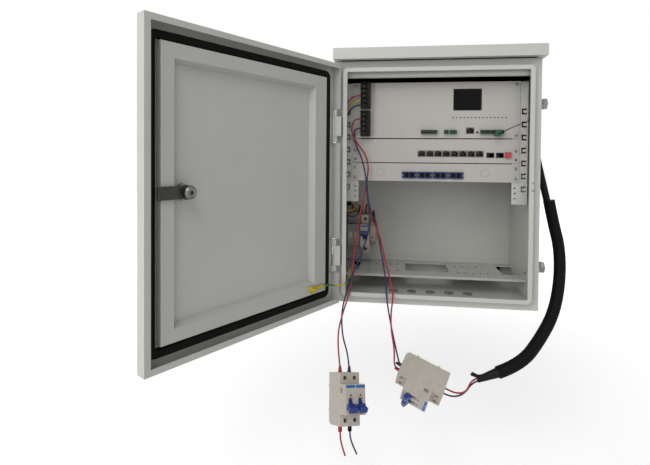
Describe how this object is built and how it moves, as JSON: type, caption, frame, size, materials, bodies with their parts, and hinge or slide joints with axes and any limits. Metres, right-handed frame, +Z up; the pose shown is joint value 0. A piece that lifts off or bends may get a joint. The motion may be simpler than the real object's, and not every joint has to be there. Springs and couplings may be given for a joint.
{
  "type": "roadside utility cabinet",
  "caption": "Wall mounted steel equipment cabinet with a hinged door, rack units, a shelf, rail devices and circuit breakers hung on their leads.",
  "frame": {"origin": "centre of the four wall bolt holes, on the outer face of the back wall", "axes": "+X to the right as seen from the front, +Y from the door into the cabinet and out of its back, +Z up"},
  "size_m": [0.6046, 0.5046, 0.6918],
  "materials": {
    "white_paint": "fine powder coat, satin",
    "frame_paint": "powder coat, satin, a little warmer",
    "unit_paint": "smooth satin paint",
    "black_foam": "matt closed cell foam",
    "zinc_steel": "bright zinc plate",
    "chrome_metal": "polished zinc casting",
    "dark_steel": "dull grey steel",
    "brass_lug": "brass with a yellow sleeve",
    "black_plastic": "moulded, matt",
    "display_glass": "dark display window, glossy",
    "green_plastic": "moulded",
    "red_plastic": "moulded",
    "blue_plastic": "moulded, slightly glossy",
    "white_plastic": "moulded, fine spark texture",
    "grey_plastic": "moulded",
    "beige_plastic": "moulded",
    "red_insulation": "smooth soft insulation",
    "blue_insulation": "smooth soft insulation",
    "loom_insulation": "smooth insulation in several colours",
    "black_sleeving": "braided sleeving",
    "earth_insulation": "green and yellow insulation"
  },
  "bodies": {
    "cabinet": {"cabinet_shell": "white_paint", "roof_hood": "white_paint", "hinge_blocks": "white_paint", "equipment_shelf": "white_paint", "psu_faceplate": "unit_paint", "fibre_panel": "unit_paint", "switch_unit": "unit_paint", "psu_chassis": "unit_paint", "equipment_rails": "unit_paint", "ceiling_foam": "black_foam", "side_bolts": "zinc_steel", "panel_screws": "zinc_steel", "terminal_screws": "zinc_steel", "din_rail": "zinc_steel", "module_cages": "zinc_steel", "wall_terminal": "brass_lug", "terminal_blocks": "black_plastic", "network_jacks": "black_plastic", "side_elbow": "black_plastic", "sleeve_wrap": "black_plastic", "junction_plugs": "black_plastic", "floor_grommets": "black_plastic", "sensor_probe": "black_plastic", "display_window": "display_glass", "green_connectors": "green_plastic", "supply_terminal": "red_plastic", "fibre_adapters": "blue_plastic", "hung_breaker_1": "white_plastic", "hung_breaker_2": "white_plastic", "branch_breaker": "white_plastic", "junction_box": "white_plastic", "surge_arrester": "grey_plastic", "rail_terminals": "beige_plastic", "lead_red_1": "red_insulation", "lead_red_2": "red_insulation", "tail_red": "red_insulation", "out_red": "red_insulation", "lead_blue_1": "blue_insulation", "lead_blue_2": "blue_insulation", "tail_blue": "blue_insulation", "out_blue": "blue_insulation", "supply_loom": "loom_insulation", "sleeve": "black_sleeving", "sensor_lead": "black_sleeving", "bond_lead": "earth_insulation"},
    "door": {"door_panel": "white_paint", "door_frame": "frame_paint", "door_gasket": "black_foam", "hinge_leaves": "white_paint", "hinge_pins": "zinc_steel", "lock_body": "chrome_metal", "lock_nut": "zinc_steel", "door_terminal": "brass_lug"},
    "lock": {"lock_core": "chrome_metal", "lock_tongue": "dark_steel", "lock_cap": "chrome_metal"},
    "branch_toggle": {"branch_toggle": "blue_plastic"},
    "toggle_1": {"hung_toggle_1": "blue_plastic"},
    "toggle_2": {"hung_toggle_2": "blue_plastic"},
    "reset_button": {"reset_button": "black_plastic"}
  },
  "joints": [
    {"name": "door_hinge", "type": "hinge", "parent": "cabinet", "child": "door", "pos_m": [-0.1744, -0.203, -0.015], "axis": [0, 0, 1], "range_deg": [-8, 62], "deforming": ["bond_lead"]},
    {"name": "lock_turn", "type": "hinge", "parent": "door", "child": "lock", "pos_m": [-0.3302, -0.45233, -0.001], "axis": [-0.848, 0.5299, 0], "range_deg": [0, 90]},
    {"name": "branch_switch", "type": "hinge", "parent": "cabinet", "child": "branch_toggle", "pos_m": [-0.1295, -0.0702, -0.119], "axis": [-1, 0, 0], "range_deg": [-60, 0]},
    {"name": "hung_switch_1", "type": "hinge", "parent": "cabinet", "child": "toggle_1", "pos_m": [-0.1323, -0.25695, -0.35851], "axis": [-0.8494, -0.4976, 0.1758], "range_deg": [0, 60]},
    {"name": "hung_switch_2", "type": "hinge", "parent": "cabinet", "child": "toggle_2", "pos_m": [-0.03593, -0.22721, -0.3575], "axis": [0.111, -0.6001, 0.7922], "range_deg": [0, 60]},
    {"name": "reset_press", "type": "slide", "parent": "cabinet", "child": "reset_button", "axis": [0, 1, 0], "range_m": [0, 0.0008], "stiffness_N_per_m": 300}
  ]
}
